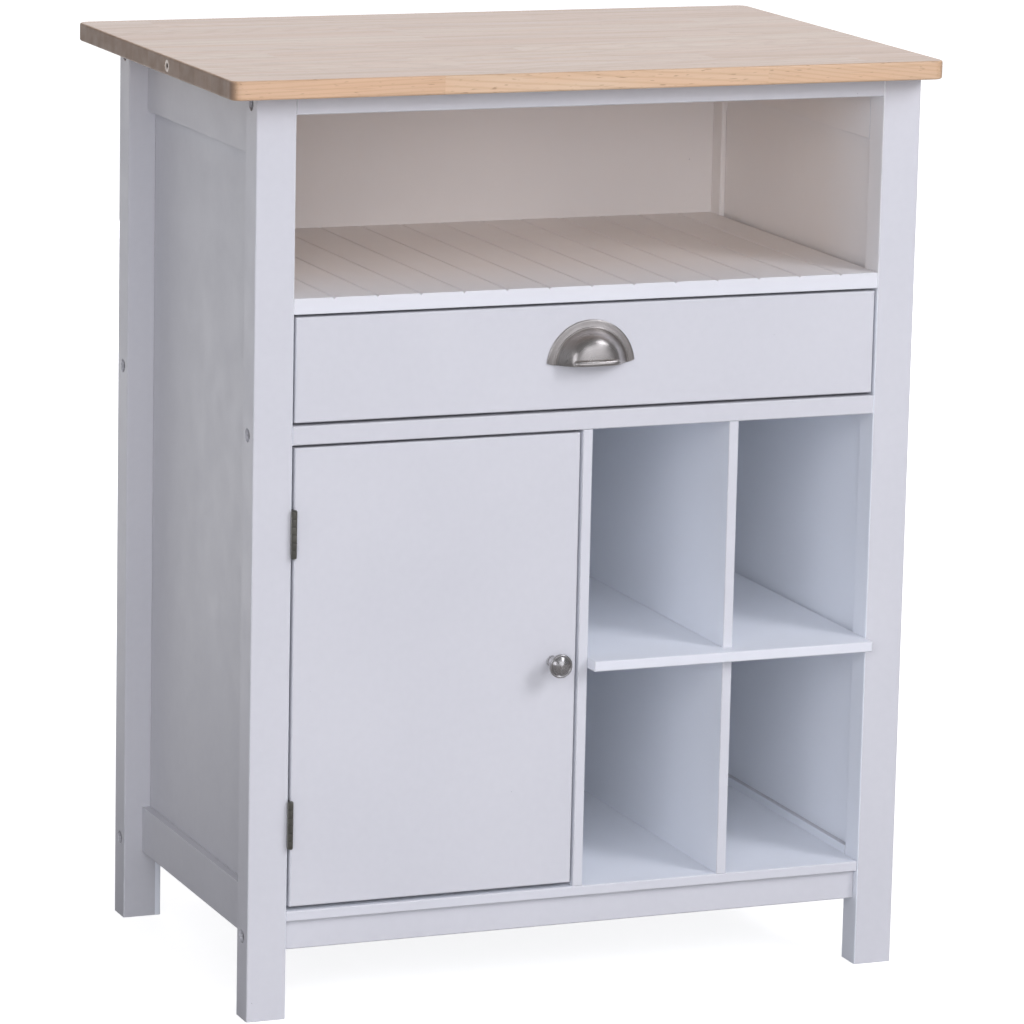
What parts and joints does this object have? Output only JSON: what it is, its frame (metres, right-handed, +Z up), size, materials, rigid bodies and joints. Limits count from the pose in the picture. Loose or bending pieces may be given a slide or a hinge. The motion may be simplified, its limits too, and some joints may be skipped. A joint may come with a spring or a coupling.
{
  "type": "kitchen sideboard",
  "caption": "White post-and-rail kitchen sideboard with a pale wood worktop, an open bay with a grooved shelf, a drawer with a cup pull, a hinged cupboard door and open cubbies.",
  "frame": {"origin": "on the floor, under the middle of the worktop", "axes": "+X to the viewer's right, +Y from the front to the back, +Z up"},
  "size_m": [0.718, 0.47, 0.9],
  "materials": {
    "wood_top": "clear satin lacquer over jointed staves",
    "white_paint": "satin white paint",
    "plain_wood": "sanded, unpainted",
    "bolt_metal": "dark zinc plate",
    "screw_metal": "zinc plate",
    "insert_metal": "plain",
    "hinge_metal": "dull plate",
    "pull_metal": "brushed nickel",
    "knob_metal": "polished",
    "catch_plastic": "moulded"
  },
  "bodies": {
    "carcass": {"worktop": "wood_top", "worktop_edge_insert": "insert_metal", "post_front_left": "white_paint", "post_front_right": "white_paint", "post_rear_left": "white_paint", "post_rear_right": "white_paint", "upper_side_rail_left": "white_paint", "upper_side_rail_right": "white_paint", "lower_side_rail_left": "white_paint", "lower_side_rail_right": "white_paint", "side_panel_left": "white_paint", "side_panel_right": "white_paint", "top_front_rail": "white_paint", "middle_front_rail": "white_paint", "bottom_front_rail": "white_paint", "top_back_rail": "white_paint", "middle_back_rail": "white_paint", "bottom_back_rail": "white_paint", "upper_back_panel": "white_paint", "lower_back_panel": "white_paint", "grooved_shelf": "white_paint", "shelf_cleat_left": "white_paint", "shelf_cleat_right": "white_paint", "drawer_deck": "white_paint", "bottom_board": "white_paint", "partition": "white_paint", "cubby_divider": "white_paint", "cubby_shelf": "white_paint", "drawer_runner_left": "plain_wood", "drawer_runner_right": "plain_wood", "frame_bolts": "bolt_metal", "shelf_pins": "screw_metal", "hinge_post_leaf_upper": "hinge_metal", "hinge_post_leaf_lower": "hinge_metal", "hinge_pin_upper": "hinge_metal", "hinge_pin_lower": "hinge_metal", "magnetic_catch": "catch_plastic"},
    "drawer": {"drawer_front": "white_paint", "drawer_side_left": "plain_wood", "drawer_side_right": "plain_wood", "drawer_back": "plain_wood", "drawer_bottom": "plain_wood", "cup_pull": "pull_metal"},
    "door": {"door_panel": "white_paint", "door_knob": "knob_metal", "catch_plate": "screw_metal", "hinge_door_leaf_upper": "hinge_metal", "hinge_door_leaf_lower": "hinge_metal"}
  },
  "joints": [
    {"name": "drawer_slide", "type": "slide", "parent": "carcass", "child": "drawer", "axis": [0, -1, 0], "range_m": [0, 0.24]},
    {"name": "door_hinge", "type": "hinge", "parent": "carcass", "child": "door", "pos_m": [-0.28355, -0.2039, 0.33], "axis": [0, 0, -1], "range_deg": [0, 170]}
  ]
}
